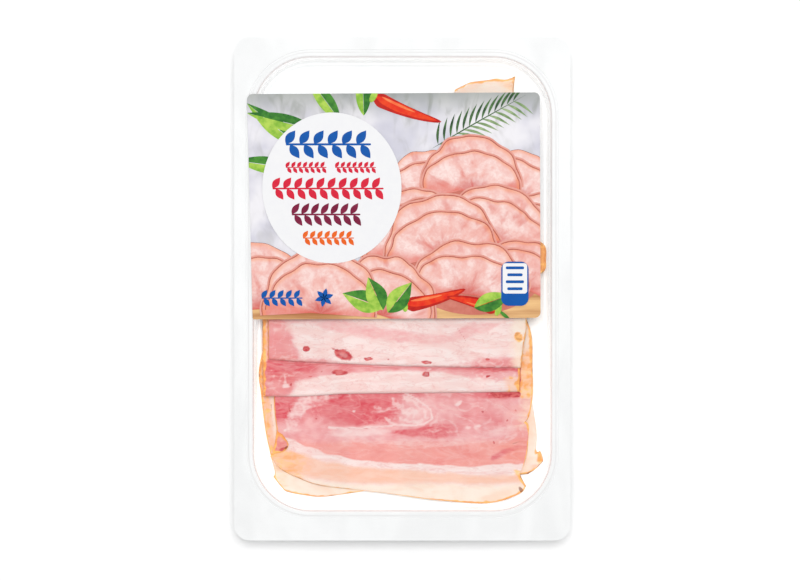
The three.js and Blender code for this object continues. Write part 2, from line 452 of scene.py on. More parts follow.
def spline(points):
    """A smooth line through the points, as a function of the share of its length."""
    knots = [Vector(point) for point in points]
    dense = []
    steps = 12
    for i in range(len(knots) - 1):
        before, start, end, after = (knots[min(max(i + k, 0), len(knots) - 1)] for k in (-1, 0, 1, 2))
        for step in range(steps):
            t = step / steps
            slope_in = (end - before) * 0.5
            slope_out = (after - start) * 0.5
            cubic = (start - end) * 2 + slope_in + slope_out
            square = (end - start) * 3 - slope_in * 2 - slope_out
            dense.append(((cubic * t + square) * t + slope_in) * t + start)
    dense.append(knots[-1])
    reach = [0]
    for a, b in zip(dense, dense[1:]):
        reach.append(reach[-1] + (b - a).length)

    def at(share):
        wanted = share * reach[-1]
        i = min(max(bisect.bisect_right(reach, wanted) - 1, 0), len(dense) - 2)
        span = reach[i + 1] - reach[i]
        return dense[i].lerp(dense[i + 1], (wanted - reach[i]) / span)

    return at


def curve_height(points):
    """A smooth band line: its y for any x, level beyond its ends."""
    xs = [x for x, _ in points]
    ys = [y for _, y in points]

    def at(x):
        i = min(max(bisect.bisect_right(xs, x) - 1, 0), len(xs) - 2)
        return ys[i] + (ys[i + 1] - ys[i]) * smooth(x, xs[i], xs[i + 1])

    return at


def spot(x, y, place, half_length, half_height, tilt=0):
    """1 in the middle of an oval spot and 0 well outside, with its rim at one half."""
    across = (Vector((x, y)) - Vector(place)) @ Matrix.Rotation(tilt, 2)
    reach = math.hypot(across.x / half_length, across.y / half_height)
    return smooth(reach, 1.5, 0.5)


def vessel(x, y, place, half_length, half_height, tilt=0):
    """A cut blood vessel: strong along its rim, softer inside."""
    return max(
        spot(x, y, place, half_length, half_height, tilt)
        - 0.5 * spot(x, y, place, half_length * 0.7, half_height * 0.7, tilt),
        0,
    )


def stroke(x, y, width, *points):
    """1 on a line through the points and 0 outside its width."""
    nearest = math.inf
    for (start_x, start_y), (end_x, end_y) in zip(points, points[1:]):
        run_x = end_x - start_x
        run_y = end_y - start_y
        share = ((x - start_x) * run_x + (y - start_y) * run_y) / (run_x ** 2 + run_y ** 2)
        share = min(max(share, 0), 1)
        nearest = min(nearest, math.hypot(x - start_x - share * run_x, y - start_y - share * run_y))
    return smooth(nearest, width, width * 0.2)


def spots(x, y, *rows):
    """The strongest of several spots. A row is a strength and what spot takes."""
    return max(strength * spot(x, y, *shape) for strength, *shape in rows)


def strokes(x, y, *rows):
    """The strongest of several lines. A row is a strength and what stroke takes."""
    return max(strength * stroke(x, y, *line) for strength, *line in rows)


def pile_height(x, y, areas):
    """Height of the pile's top above the tray's floor, over the slices whose areas are given."""
    total = SLICE_GAP
    for low, high in areas:
        away = math.hypot(max(low.x - x, 0, x - high.x), max(low.y - y, 0, y - high.y))
        total += (SLICE + SLICE_GAP) * (1 - smooth(away, 0, DRAPE))
    return total


def relief(x, y):
    """The soft swells that all slices of the pile share."""
    return 0.12 * blurred(x, y, 9) + 0.06 * blurred(x, y, 3.5, 7)


TONES = ("lean", "salmon", "pale", "fat", "peach", "cream", "blood", "rind", "char")


def sliced(bm, edges, columns, rows, crowding, underside, tone, thickness=SLICE):
    """A slice between four edges (low, right, high, left), as a closed sheet with tone masks."""
    low, right, high, left = (spline(points) for points in edges)
    layers = {name: bm.verts.layers.float.new(name) for name in TONES}
    bmesh.ops.create_grid(bm, x_segments=columns, y_segments=rows, size=0.5)
    top = bmesh.ops.extrude_face_region(bm, geom=bm.faces[:], use_keep_orig=True)["geom"]
    top_verts = {item for item in top if isinstance(item, bmesh.types.BMVert)}
    tones_at = {}
    for vert in bm.verts:
        spread = tuple(vert.co)
        u = vert.co.x + 0.5
        v = (vert.co.y + 0.5) ** crowding
        place = low(u) * (1 - v) + high(u) * v + left(v) * (1 - u) + right(v) * u
        place -= (low(0) * (1 - u) + low(1) * u) * (1 - v) + (high(1) * u + high(0) * (1 - u)) * v
        width = (right(v) - left(v)).length
        length = (high(u) - low(u)).length
        inside = {"left": u * width, "right": (1 - u) * width, "low": v * length, "high": (1 - v) * length}
        x, y = place
        shoulder = min(min(inside.values()) / EDGE_ROUNDING, 1)
        height = underside(x, y) + relief(x, y) - EDGE_DROOP * (1 - shoulder)
        if vert in top_verts:
            height += thickness * (0.2 + 0.8 * math.sqrt(1 - (1 - shoulder) ** 2))
        vert.co = (x, y, height)
        if spread not in tones_at:
            wobble_x = x + 0.9 * blurred(x, y, 5, 3) + 0.2 * blurred(x, y, 1.9, 4)
            wobble_y = y + 0.45 * blurred(x, y, 6, 5) + 0.15 * blurred(x, y, 2.1, 6)
            tones_at[spread] = tone(wobble_x, wobble_y, inside)
        for name, layer in layers.items():
            vert[layer] = tones_at[spread].get(name, 0)
    bmesh.ops.recalc_face_normals(bm, faces=bm.faces)


def rim_tone(x, y, inside, **widths):
    """How much of the rind shows, from the width of its uneven line along each edge."""
    uneven = 1 + 0.9 * blurred(x, y, 2.6, 91) + 0.5 * blurred(x, y, 7, 92)
    return max(
        smooth(inside[edge], width * uneven * 1.6, width * uneven * 0.4) for edge, width in widths.items()
    )


# Tones of each slice. Places and widths are millimetres on the pack, and a factor in front is how
# strongly a mask lays its tone on.

# Band lines of the front slice, read from its left to its right
LEAN_FOOT = curve_height(
    [(-49, -62.5), (-39.3, -66.5), (-29.3, -69.8), (-18, -71.9), (-6.8, -73.1), (5.3, -73.5)]
    + [(17.6, -74), (29.9, -74.8), (37.8, -73.8), (44.5, -73.5)]
)
FAT_FOOT = curve_height(
    [(-50, -67), (-43.9, -69), (-30.9, -72.7), (-18, -74.8), (1.4, -75.9), (17.6, -77.2)]
    + [(33.9, -78.4), (46, -78)]
)
PEACH_FOOT = curve_height(
    [(-52, -72), (-47.2, -75.5), (-35.1, -80.6), (-26, -81.9), (-14, -82.2), (1.4, -82.3), (17.6, -82.2)]
    + [(33.9, -82.8), (46, -82)]
)
EYE_SEAM = curve_height([(-43, -57), (-29.5, -58), (-11.8, -57.1), (-3, -57.7), (9, -56.9), (13, -54.6)])
WEDGE_HEAD = curve_height([(-7, -60), (4.9, -59.2), (14.1, -57.2), (24, -57)])
WEDGE_FOOT = curve_height([(-7, -60.4), (4.9, -61.8), (14.1, -62.9), (24, -61.5)])


def ridged(x, y, size, seed, width):
    """Thin wandering lines, 1 along their middle."""
    return smooth(abs(blurred(x, y, size, seed)), width, width * 0.15)


def slice_2_tone(x, y, inside):
    eye = smooth(math.hypot((x + 17) / 27, (y + 47) / 12.5), 1.15, 0.7)
    eye *= smooth(y - EYE_SEAM(x), -0.3, 0.4)
    core = smooth(math.hypot((x + 16) / 17, (y + 51) / 7), 1.3, 0.4)
    upper_core = smooth(math.hypot((x + 28) / 9, (y + 45.5) / 4), 1.3, 0.4)
    left_lean = smooth(x, -38, -46) * smooth(y, -59, -52)
    wedge = smooth(y - WEDGE_FOOT(x), -0.8, 0.8)
    wedge *= smooth(y - WEDGE_HEAD(x), 0.9, -0.5) * smooth(x, -9, 0) * smooth(x, 30, 12)
    marbled = spot(x, y, (4.5, -50), 9.5, 5.6, 0.35)
    drift_x = x + 1.5 * blurred(x, y, 3.1, 26) + 0.7 * blurred(x, y, 1.4, 27)
    drift_y = y + 1.3 * blurred(x, y, 2.8, 28) + 0.6 * blurred(x, y, 1.3, 29)
    seam = stroke(
        x, drift_y * 0.35 + y * 0.65, 0.8, (-31, -58.5), (-24, -58.9), (-13.4, -58.1), (-3.4, -57.3),
        (3.2, -57.3), (9.5, -56.9), (12.8, -54.4), (12, -51), (9.1, -48.5), (6.1, -46.5), (1.6, -44),
    )
    veins = strokes(
        drift_x,
        drift_y,
        (0.6, 1.1, (-11.8, -49.8), (-8.4, -51), (-5.1, -50.6)),
        (0.8, 0.9, (-7.2, -54.8), (-3.9, -56.6), (-1.4, -57.5)),
        (0.8, 1.5, (-4.3, -46.5), (-0.9, -50.6), (2.4, -53), (6, -52)),
        (0.8, 1.6, (1.5, -45.5), (5, -48), (9, -50.5), (10.5, -54)),
        (0.8, 1.3, (-0.9, -54.5), (3.5, -56), (8.5, -55.5)),
        (0.5, 1.3, (12.8, -57), (14.9, -52.7), (14.1, -48.5), (9.5, -44.4)),
        (0.5, 1.6, (2.8, -43.5), (9.5, -47.7), (15.7, -50.6)),
        (0.5, 1.1, (13.5, -47.5), (17.5, -49.4), (20.5, -50.2)),
        (0.45, 1.4, (41.1, -64.8), (45.7, -61.9), (51.6, -59.4)),
    )
    veins = max(veins, 0.5 * stroke(x, drift_y, 0.7, (11.6, -60), (20.7, -59.8)))
    mottle = 0.85 + 0.55 * blurred(x, y, 3.0, 14) + 0.4 * blurred(x, y, 1.2, 30)
    soft_seam = mottle * max(
        stroke(drift_x, y, 5, (-34, -44), (-40.1, -46.9), (-43.4, -49.8), (-45.1, -53.5), (-46.4, -58.1)),
        0.45 * stroke(x, drift_y, 2.6, (-21.8, -44), (-28, -44.8), (-33.4, -46.5), (-37.6, -49.8)),
    )
    veil = max(
        0.62 * spot(x, y, (-17.5, -60.5), 14, 1.9, 0.02),
        0.4 * stroke(x, y, 3.4, (-24, -62.5), (5, -64.8), (20, -64.8), (36, -62), (46, -58.5)),
    )
    lean_low = smooth(y, -61.5, -66)
    stripe = stroke(x, y, 2.1, (38.2, -71), (43.2, -68.4), (48.6, -66.6), (52, -66.6))
    shade_line = stroke(x, y, 0.5, (26.1, -63.1), (28.2, -69.4), (31.5, -73.5))
    lean = 0.33 + 0.28 * eye + 0.34 * eye * core + 0.22 * upper_core + 0.75 * left_lean + 0.66 * wedge
    # Painted shade: the first term deepens the lean towards slice 3's low edge above.
    lean += 0.25 * smooth(y, -47.5, -44.5) + 0.6 * stripe + 0.18 * spot(x, y, (22, -70.5), 15, 4)
    lean += 0.22 * blurred(x, y, 6, 15) + 0.16 * blurred(x, y, 2.5, 16) + 0.15 * shade_line - 0.15 * marbled
    lean += 0.14 * smooth(x, 15, 24) * smooth(x, 48, 40) * smooth(y, -60, -56)
    lean += 0.14 * spot(x, y, (-34, -50.5), 5, 4) + 0.16 * spot(x, y, (36, -57), 6, 4.5)
    lean += 0.14 * spot(x, y, (-49, -48), 4, 4)
    salmon = 0.7 * lean_low + 0.5 * smooth(x, 38, 50) * smooth(y, -46, -52) - 0.5 * stripe - 0.3 * left_lean
    flecks = spots(
        x,
        y,
        (1, (23.9, -48.1), 2, 0.8, 0.5),
        (0.8, (27.6, -58.1), 1.5, 0.9),
        (0.8, (32.5, -57.6), 1.2, 0.7),
        (1, (-20.5, -51.6), 0.7, 0.4),
        (1, (-49.2, -59.4), 0.6, 0.6),
    )
    swirls = ridged(drift_x, drift_y, 4.2, 12, 0.4) * marbled
    strands = ridged(x * 0.6 + y * 0.5, y, 5.5, 19, 0.14) * smooth(x, 8, 20) * smooth(y, -66, -60)
    pale = max(
        0.8 * seam, 0.8 * veins, 0.55 * swirls, 0.34 * marbled, 0.66 * soft_seam, veil, 0.8 * flecks,
        0.4 * strands,
    )
    dots = spots(
        x,
        y,
        (1, (33.6, -51.9), 0.6, 0.7),
        (1, (44.1, -55.2), 0.5, 0.6),
        (1, (47.4, -51.0), 0.5, 0.5),
        (1, (38.2, -64.6), 0.5, 0.8),
        (1, (-36.0, -54.6), 0.6, 0.5),
        (1, (-46.8, -50.6), 0.35, 1.6, 0.4),
    )
    dots = max(dots, 0.8 * stroke(x, y, 0.35, (-28, -58.9), (-18, -58.7), (-8, -58), (-3.5, -57.8)))
    below_lean = smooth(y - LEAN_FOOT(x), 1.0, -1.0)
    below_fat = smooth(y - FAT_FOOT(x), 1.6, -1.6)
    below_peach = smooth(y - PEACH_FOOT(x), 2.6, -2.2)
    left_low = smooth(x, -34, -46)
    pale_foot = 1 - 0.7 * left_low
    upper_right = smooth(x, 48.8, 50) * smooth(y, -47.5, -45)
    right_fade = smooth(inside["right"], 10, 1) * smooth(y, -63, -55)
    golden = 0.3 + 0.6 * smooth(x, 0, 28)
    # Painted shade in the strip under slice 3's right end, darker and redder.
    shade_under_slice_3 = smooth(x, 34, 40) * smooth(y, -46.2, -45.2) * smooth(x, 50.4, 49)
    crumbs = smooth(blurred(x, y, 1.8, 25), 0.05, 0.45)
    creamy_right = upper_right * smooth(y, -34, -22)
    rind = rim_tone(x, y, inside, low=golden, left=0.6, right=1.2)
    char = max(
        spot(x, y, (50.3, -84.9), 2.2, 0.9, -0.9),
        0.75 * rim_tone(x, y, inside, right=0.35) * smooth(blurred(x, y, 3, 23), -0.1, 0.4),
        0.45 * rim_tone(x, y, inside, low=0.3) * smooth(x, -4, -20),
        0.5 * stroke(x, y, 0.5, (46.6, -64.9), (49.6, -64.3), (52, -64.4)),
    )
    return {
        "lean": lean + 0.9 * shade_under_slice_3,
        "salmon": salmon,
        "pale": pale,
        "fat": below_lean,
        "peach": max(0.85 * below_fat * (1 - below_peach * pale_foot), 0.9 * upper_right, 0.6 * right_fade),
        "cream": max(
            below_peach * pale_foot, 0.5 * upper_right * (1 - crumbs), 0.35 * right_fade, 0.8 * creamy_right
        ),
        "blood": max(0.6 * dots, 0.75 * shade_under_slice_3),
        "rind": max(
            rind,
            (upper_right - 0.6 * creamy_right) * (0.5 + 0.4 * crumbs),
            0.75 * spot(x, y, (49.2, -77.8), 3, 1.5, -0.6),
            0.5 * left_low * below_fat,
        ),
        "char": char,
    }


SLICE_3_FAT_HEAD = curve_height(
    [(-44, -38), (-30, -36.5), (-20, -35.4), (0, -34.2), (14, -35), (30, -37.5), (45, -39)]
)


def slice_3_tone(x, y, inside):
    border = x - 0.8 * (y + 42) + 1.8 * blurred(x, y, 7, 34) + 0.8 * blurred(x, y, 2.4, 36)
    left_lean = smooth(border, -40, -51)
    below_head = smooth(y - SLICE_3_FAT_HEAD(x), 1.8, -1.6)
    # Painted shade: a darker, redder strip just under slice 4's low edge, reddest at the right end, and a
    # dark contact line along that edge.
    shade_under_slice_4 = smooth(y, -36.2, -33) * (1 - 0.6 * smooth(abs(x), 24, 8))
    red_shade_at_right_end = smooth(x, 26, 36) * shade_under_slice_4
    painted_contact_shadow = stroke(x, y, 0.8, (-56, -30.4), (-42.6, -31.5), (-23.4, -32.3), (-1.4, -33.2), (49.8, -34))
    # A paler band along the low edge: the meat's lighter foot, and painted light against the shade of the
    # rounded edge.
    paler_foot_against_shade = smooth(y, -40.6, -42.4) * smooth(x, -26, -20) * smooth(x, 34, 20)
    rough_x = x + 0.45 * blurred(x, y, 1.9, 48) + 0.2 * blurred(x, y, 0.8, 50)
    rough_y = y + 0.35 * blurred(x, y, 1.8, 49) + 0.15 * blurred(x, y, 0.8, 52)
    # Red marks: cut vessels, and the painted shade under slice 4's edge.
    red_marks = max(
        vessel(rough_x, rough_y, (-26.4, -35.2), 3.1, 1.2, -0.06),
        vessel(rough_x, rough_y, (9.9, -35.7), 1.8, 1.2),
        0.8 * spot(rough_x, rough_y, (35.9, -36.9), 1.1, 0.5),
        0.8 * spot(x, y, (-46.9, -40.2), 0.4, 0.8),
        0.6 * spot(x, y, (-33.5, -34.9), 1.0, 0.4, 0.3),
        0.6 * spot(x, y, (-38.5, -36.4), 1.2, 0.3, 0.2),
        0.5 * painted_contact_shadow,
        0.42 * red_shade_at_right_end * smooth(x, 47, 44),
    )
    # Painted highlights: glare spots on the film over the meat, laid into the pale mask.
    painted_glint = max(
        0.9 * spot(rough_x, rough_y, (-48.9, -40.9), 1.5, 1.0, 0.3),
        0.6 * stroke(rough_x, rough_y, 0.8, (-49.6, -36.5), (-49.2, -40.5)),
        spot(x, y, (11.2, -33.9), 1.4, 0.4),
    )
    threads = ridged(x * 0.45, y, 2.2, 31, 0.2) * smooth(x, 16, 30) * smooth(y, -41.5, -38)
    right_end = smooth(x, 40, 47)
    strip = smooth(inside["left"], 2.6, 1.8) * smooth(y, -31.5, -29.5)
    yellow = right_end * smooth(blurred(x, y, 2.4, 37), 0, 0.35)
    lean = 0.36 + 0.24 * shade_under_slice_4 + 0.2 * blurred(x, y, 5, 33) + 0.7 * red_shade_at_right_end - 0.55 * paler_foot_against_shade
    # The last term is painted light: less lean along the low edge, lifting the rounded edge's shade.
    lean += left_lean * (0.3 + 0.3 * smooth(y, -41.5, -36)) - 0.15 * rim_tone(x, y, inside, low=0.6)
    return {
        "lean": lean,
        "salmon": 0.3 * left_lean * (1 - shade_under_slice_4),
        "pale": max(painted_glint, 0.5 * threads * (1 - shade_under_slice_4), 0.35 * left_lean * ridged(x, y, 6, 35, 0.15)),
        "fat": below_head * (1 - left_lean) * (1 - 0.2 * paler_foot_against_shade) * (1 - 0.5 * threads),
        "peach": max(0.85 * right_end * smooth(y, -35.5, -38), strip),
        "cream": 0.3 * right_end * smooth(y, -38, -41),
        "blood": red_marks,
        "rind": max(
            rim_tone(x, y, inside, left=1.2, right=1.1),
            strip * (0.45 + 0.4 * blurred(x, y, 2.4, 38)),
            0.75 * yellow * smooth(y, -35, -37),
        ),
        "char": 0.8 * rim_tone(x, y, inside, left=0.35) * smooth(blurred(x, y, 3, 35), -0.1, 0.3),
    }


SLICE_4_BAND_FOOT = curve_height(
    [(-40, -15), (-30, -18), (-22, -20), (-12, -21.6), (0, -23), (14, -24), (24, -22), (34, -19), (46, -13)]
)
SLICE_4_BAND_HEAD = curve_height(
    [(-30, -10), (-16, -14.6), (-4, -16.8), (8, -18.3), (18, -18.8), (30, -14)]
)


def slice_4_tone(x, y, inside):
    border = x + 0.35 * (y + 22) + 1.8 * blurred(x, y, 7, 46) + 0.8 * blurred(x, y, 2.4, 47)
    left_lean = smooth(border, -40, -50)
    band = smooth(y - SLICE_4_BAND_FOOT(x), -1.4, 1.4)
    band *= smooth(y - SLICE_4_BAND_HEAD(x), 2.2, -1.8)
    foot_pink = smooth(y, -26.8, -31) * max(0.75 * smooth(x, -20, -34), smooth(x, 20, 36))
    foot_pink = max(foot_pink, 0.5 * smooth(y, -30.5, -33))
    rough_x = x + 0.6 * blurred(x, y, 2.2, 48) + 0.25 * blurred(x, y, 0.9, 50)
    rough_y = y + 0.5 * blurred(x, y, 2.0, 49) + 0.2 * blurred(x, y, 0.9, 52)
    red_marks = max(
        spot(rough_x, rough_y, (-40.1, -25.2), 1.5, 1.1),
        vessel(rough_x, rough_y, (-24.6, -27.6), 4.2, 2.0, -0.38),
        0.7 * spot(rough_x, rough_y, (-28.0, -25.6), 1.8, 0.5, -0.3),
        vessel(rough_x, rough_y, (-14.3, -29.3), 2.0, 0.8),
        vessel(rough_x, rough_y, (10.5, -30.8), 2.1, 0.7),
        0.55 * spot(x, y, (-5.9, -29.6), 0.8, 0.4),
        0.9 * spot(x, y, (35.7, -29.6), 0.9, 0.6),
        0.5 * stroke(x, y, 0.4, (-31.5, -25.6), (-28, -25.4), (-23, -25.6)),
        0.55 * stroke(x, y, 0.45, (22.6, -16.4), (25, -19.2), (26.4, -22)),
    )
    hole = vessel(x, y, (48.4, -20.4), 1.6, 1.9)
    threads = max(
        ridged(x * 0.45, y, 2.4, 43, 0.2) * smooth(x, 14, 28) * smooth(y, -25.5, -28),
        0.5 * ridged(x * 0.3, y, 2.0, 44, 0.16) * smooth(y, -22, -25),
    )
    right_end = smooth(x, 42, 49)
    lean = 0.3 + 0.24 * blurred(x, y, 5, 41) + 0.3 * foot_pink + 0.22 * left_lean
    # Painted shade: a deeper red along the low edge, so that the shade there reads rose.
    lean += 0.25 * rim_tone(x, y, inside, low=0.5)
    return {
        "lean": lean,
        "salmon": 0.3 * left_lean + 0.2 * band + 0.25 * foot_pink,
        "pale": max(0.5 * threads, 0.35 * left_lean * ridged(x * 1.4, y * 0.7, 5, 45, 0.18)),
        "fat": (1 - max(0.95 * left_lean, 0.55 * band, 0.85 * foot_pink)) * (1 - 0.3 * threads),
        "peach": max(0.3 * right_end, 0.3 * smooth(y, -18, -14) * (1 - band) * smooth(x, 10, -10)),
        "cream": 0.8 * right_end,
        "blood": red_marks,
        "rind": max(rim_tone(x, y, inside, left=0.4, right=0.5), min(1.6 * hole, 1)),
        "char": 0.7 * hole,
    }


def slice_1_tone(x, y, inside):
    left_strip = smooth(inside["left"], 7, 3) * smooth(y, -76, -69)
    fragment = smooth(x, 50, 52) * smooth(y, -69, -67)
    right_corner = smooth(x, 51, 56) * smooth(y, -72.4, -74.4)
    block = spot(x, y, (57.6, -70.8), 1.4, 2.6)
    crumbs = smooth(blurred(x, y, 1.8, 53), 0, 0.4)
    dashes = max(
        stroke(x, y, 0.9, (57.4, -74.6), (59, -73)),
        stroke(x, y, 0.8, (52.6, -77.8), (55.2, -76.9)),
        0.7 * stroke(x, y, 0.5, (55.2, -76.9), (57.4, -74.9)),
    )
    tips = max(
        dashes,
        0.8 * spot(x, y, (-60, -36.5), 0.6, 0.8),
        0.9 * spot(x, y, (-54.0, -79.6), 0.5, 1.2),
        0.65 * rim_tone(x, y, inside, low=0.35) * smooth(blurred(x, y, 4, 51), -0.5, 0.2),
        0.45 * stroke(x, y, 0.5, (-55.0, -48.5), (-54.9, -54), (-54.4, -58.5)),
    )
    lines = rim_tone(x, y, inside, low=0.7, left=0.9, right=0.9) * (1 - 0.9 * fragment)
    warm_end = smooth(x, -44, -51) * smooth(y, -70, -74)
    return {
        "lean": 0.3,
        "salmon": 0.6,
        "fat": 0.9,
        "peach": max(0.9 * left_strip, 0.7 * right_corner, 0.6 * warm_end * (0.5 + crumbs)),
        "cream": 1 - max(left_strip, 0.7 * right_corner),
        "rind": max(
            lines, 0.42 * left_strip * (0.7 + crumbs), 0.35 * right_corner, 0.9 * block, 0.34 * warm_end
        ),
        "char": tips,
    }


def slice_6_tone(x, y, inside):
    return {
        "lean": 0.2,
        "salmon": 0.5,
        "fat": 0.9,
        "peach": 0.4 + 0.4 * blurred(x, y, 4, 61),
        "cream": 0.85,
        "rind": max(rim_tone(x, y, inside, high=0.9, right=0.6), 0.15 + 0.3 * smooth(x, 36, 47)),
        "char": max(
            0.8 * spot(x, y, (46.8, 89.4), 1.4, 0.8, 0.6), 0.6 * rim_tone(x, y, inside, high=0.2)
        ),
    }


def slice_5_tone(x, y, inside):
    tab = smooth(x, 51, 55)
    return {
        "lean": 0.4,
        "salmon": 0.6,
        "fat": 0.5,
        "peach": tab,
        "rind": max(rim_tone(x, y, inside, left=0.8, right=0.3), 0.95 * tab),
    }


def fold_tone(x, y, inside):
    return {
        "lean": 0.95 + 0.3 * blurred(x, y, 1.6, 71),
        "salmon": 0.6,
        "pale": 0.15 * spot(x, y, (-51.2, -63.2), 1.5, 1.3),
        "blood": 0.6 * spot(x, y, (-49.9, -67.2), 2.2, 0.8, 0.3),
        "rind": max(0.16, rim_tone(x, y, inside, right=0.9, low=1.1, high=1.2, left=0.8)),
        "char": max(
            0.8 * spot(x, y, (-48.4, -66.6), 1.0, 0.5, 0.7),
            0.6
            * rim_tone(x, y, inside, right=0.3, low=0.3)
            * smooth(blurred(x, y, 1.8, 73), -0.1, 0.3),
        ),
    }


# The slices from the lowest up. Each has its edges (low, right, high, left), then its columns and
# rows, how its rows crowd towards the low edge, and its tones.
SLICES = {
    "slice_1_lowest": (
        [(-54.2, -79.3), (-50.6, -83.7), (-48.3, -85.5), (-40.5, -87), (-34, -87.6), (-24, -86.4)]
        + [(0, -83), (48, -78.5), (53.2, -77.7), (56.5, -75.5), (59.4, -72.4)],
        [(59.4, -72.4), (58.2, -68.6), (56.4, -68), (56.2, -57), (50, -22)],
        [(-57, -20), (50, -22)],
        [(-54.2, -79.3), (-53.6, -77), (-55.4, -70), (-57.5, -60), (-59.3, -45.6), (-60.3, -34)]
        + [(-57, -20)],
        (190, 90, 1.5, slice_1_tone),
    ),
    "slice_2_front": (
        [(-55.4, -70.4), (-51.1, -75.8), (-43, -79.8), (-35.3, -82.5), (-23.4, -84.1), (-8.9, -85.7)]
        + [(8.6, -88.2), (19.1, -89.3), (32.6, -90.3), (39.7, -89.6), (45, -88.1), (50.2, -85.6)]
        + [(52, -82.9)],
        [(52, -82.9), (49.5, -77.8), (51, -74), (52.4, -69.2), (52.9, -63.8), (53.1, -57.5), (51.6, -55.4)]
        + [(53.2, -53.8), (54.8, -45), (54.7, -33), (54.2, -19), (50, -8)],
        [(-54, -8), (50, -8)],
        [(-55.4, -70.4), (-54.0, -68.4), (-52.8, -60), (-53.5, -53), (-53.9, -45), (-54, -8)],
        (300, 160, 1.25, slice_2_tone),
    ),
    "slice_3": (
        [(-58.2, -45.2), (-41.5, -45.2), (-24.3, -44.2), (-1.4, -43.9), (25.7, -43.6), (49.3, -43.3)],
        [(49.3, -43.3), (49.6, -10), (49, 30)],
        [(-57, 30), (49, 30)],
        [(-58.2, -45.2), (-58.6, -15), (-57, 30)],
        (200, 80, 1.9, slice_3_tone),
    ),
    "slice_4": (
        [(-56.1, -29.6), (-42.6, -30.7), (-23.4, -31.5), (-1.4, -32.4), (25.7, -33.0), (49.8, -33.2)],
        [(49.8, -33.2), (50.6, -25), (52, -14), (50, 10), (49, 45)],
        [(-55, 45), (49, 45)],
        [(-56.1, -29.6), (-56.2, 0), (-55, 45)],
        (200, 80, 1.9, slice_4_tone),
    ),
    "slice_5": (
        [(-53, -8), (51, -9)],
        [(51, -9), (54, 3), (59.6, 7.4), (60.2, 12), (59.8, 18), (54, 24), (50, 45), (48, 70)],
        [(-54, 66), (48, 70)],
        [(-53, -8), (-55, 30), (-54, 66)],
        (110, 100, 1, slice_5_tone),
    ),
    "slice_6_top": (
        [(-51, 10), (49, 12)],
        [(49, 12), (48.4, 50), (46.8, 80), (47.5, 89.2)],
        [(-50, 64), (-12, 74), (19.3, 81.3), (22.2, 83.7), (26, 85.6), (29.1, 86.9), (36.1, 87.8)]
        + [(39.6, 88.4), (43.6, 88), (47.5, 89.4)],
        [(-51, 10), (-52, 40), (-50, 64)],
        (150, 120, 0.8, slice_6_tone),
    ),
}

FOLD_EDGES = (
    [(-54.6, -69.6), (-50.1, -68.7), (-47.9, -66.9)],
    [(-47.9, -66.9), (-47.7, -64.8), (-50.1, -61.2)],
    [(-52.6, -59.4), (-50.1, -61.2)],
    [(-54.6, -69.6), (-53.4, -64.5), (-52.6, -59.4)],
)


def make_slices(meat):
    areas = []
    for name, (*edges, (columns, rows, crowding, tone)) in SLICES.items():
        below = list(areas)

        def underside(x, y):
            return TRAY_WALL + pile_height(x, y, below)

        bm = bmesh.new()
        sliced(bm, edges, columns, rows, crowding, underside, tone)
        finished(f"cut_{name}", bm, [meat], replaces=name)
        if name == "slice_2_front":
            make_fold(meat, underside)
        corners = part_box(name)
        areas.append(tuple(Vector(corner) * 1000 for corner in corners))


def make_fold(meat, underside):
    """The front slice's corner, folded back on itself and pressed down by the film."""
    bm = bmesh.new()
    middle = Vector((-51, -64.6))

    def on_slice(x, y):
        crown = smooth((Vector((x, y)) - middle).length, 5, 0)
        return underside(x, y) + SLICE - 0.2 + 0.3 * crown

    sliced(bm, FOLD_EDGES, 24, 34, 1, on_slice, fold_tone, FOLD_THICKNESS)
    finished("folded_corner", bm, [meat])


# Film


def make_film():
    """The lid film over the whole rim: bonded outside, with fine lines where the seal ends; the grey line
    at the mouth is a seal edge and also painted shade of the lip below it.
    """
    bm = bmesh.new()
    size = (MOUTH_WIDTH + 2 * SEAL_MARK, MOUTH_LENGTH + 2 * SEAL_MARK, MOUTH_CORNER + SEAL_MARK)
    inner = rounded_plate(bm, *size, MOUTH_SHIFT, FILM_TOP, CORNER_STEPS)
    bonded = SEAL_MARK - 1.5 * SEAL_LINE
    rings = [(SEAL_LINE, 2), (bonded, 1), (SEAL_LINE, 3), (SEAL_BEAD, 4), (SEAL_BEAD, 5), (4, 0), (6, 0)]
    for width, slot in rings:
        for face in inset_face(bm, inner, width):
            face.material_index = slot
    for face in reach_rim(bm, *size):
        face.material_index = 1
    look_up(bm, inner)
    films = [
        lid_film("clear_polyester_film", "#FFFFFF", "#FCFDFD"),
        lid_film("heat_bonded_film", "#EFEFEF", "#ECECEC"),
        lid_film("seal_tool_mark", "#E6E5E5", "#EAEAEA"),
        # The seal edge's grey line is also painted shade, standing in for the lip's shade at the mouth.
        lid_film("seal_edge_and_painted_shade_line", "#DDD6D5", "#E3DDDC", haze=0.3),
        lid_film("seal_bead", "#EFEFEF", "#F1F1F1", haze=0.5),
        lid_film("seal_bead_thin", "#F5F5F5", "#F7F7F7", haze=0.25),
    ]
    finished("sealed_film", bm, films, replaces="lid_film")


# Label: a film sticker whose print is made of flat shapes, each a hair above the one it covers


def printed(name):
    """Gravure print on a white film sticker under a satin varnish."""
    return Look(name, Roughness=PRINT_ROUGHNESS, Specular_IOR_Level=PRINT_SHEEN)


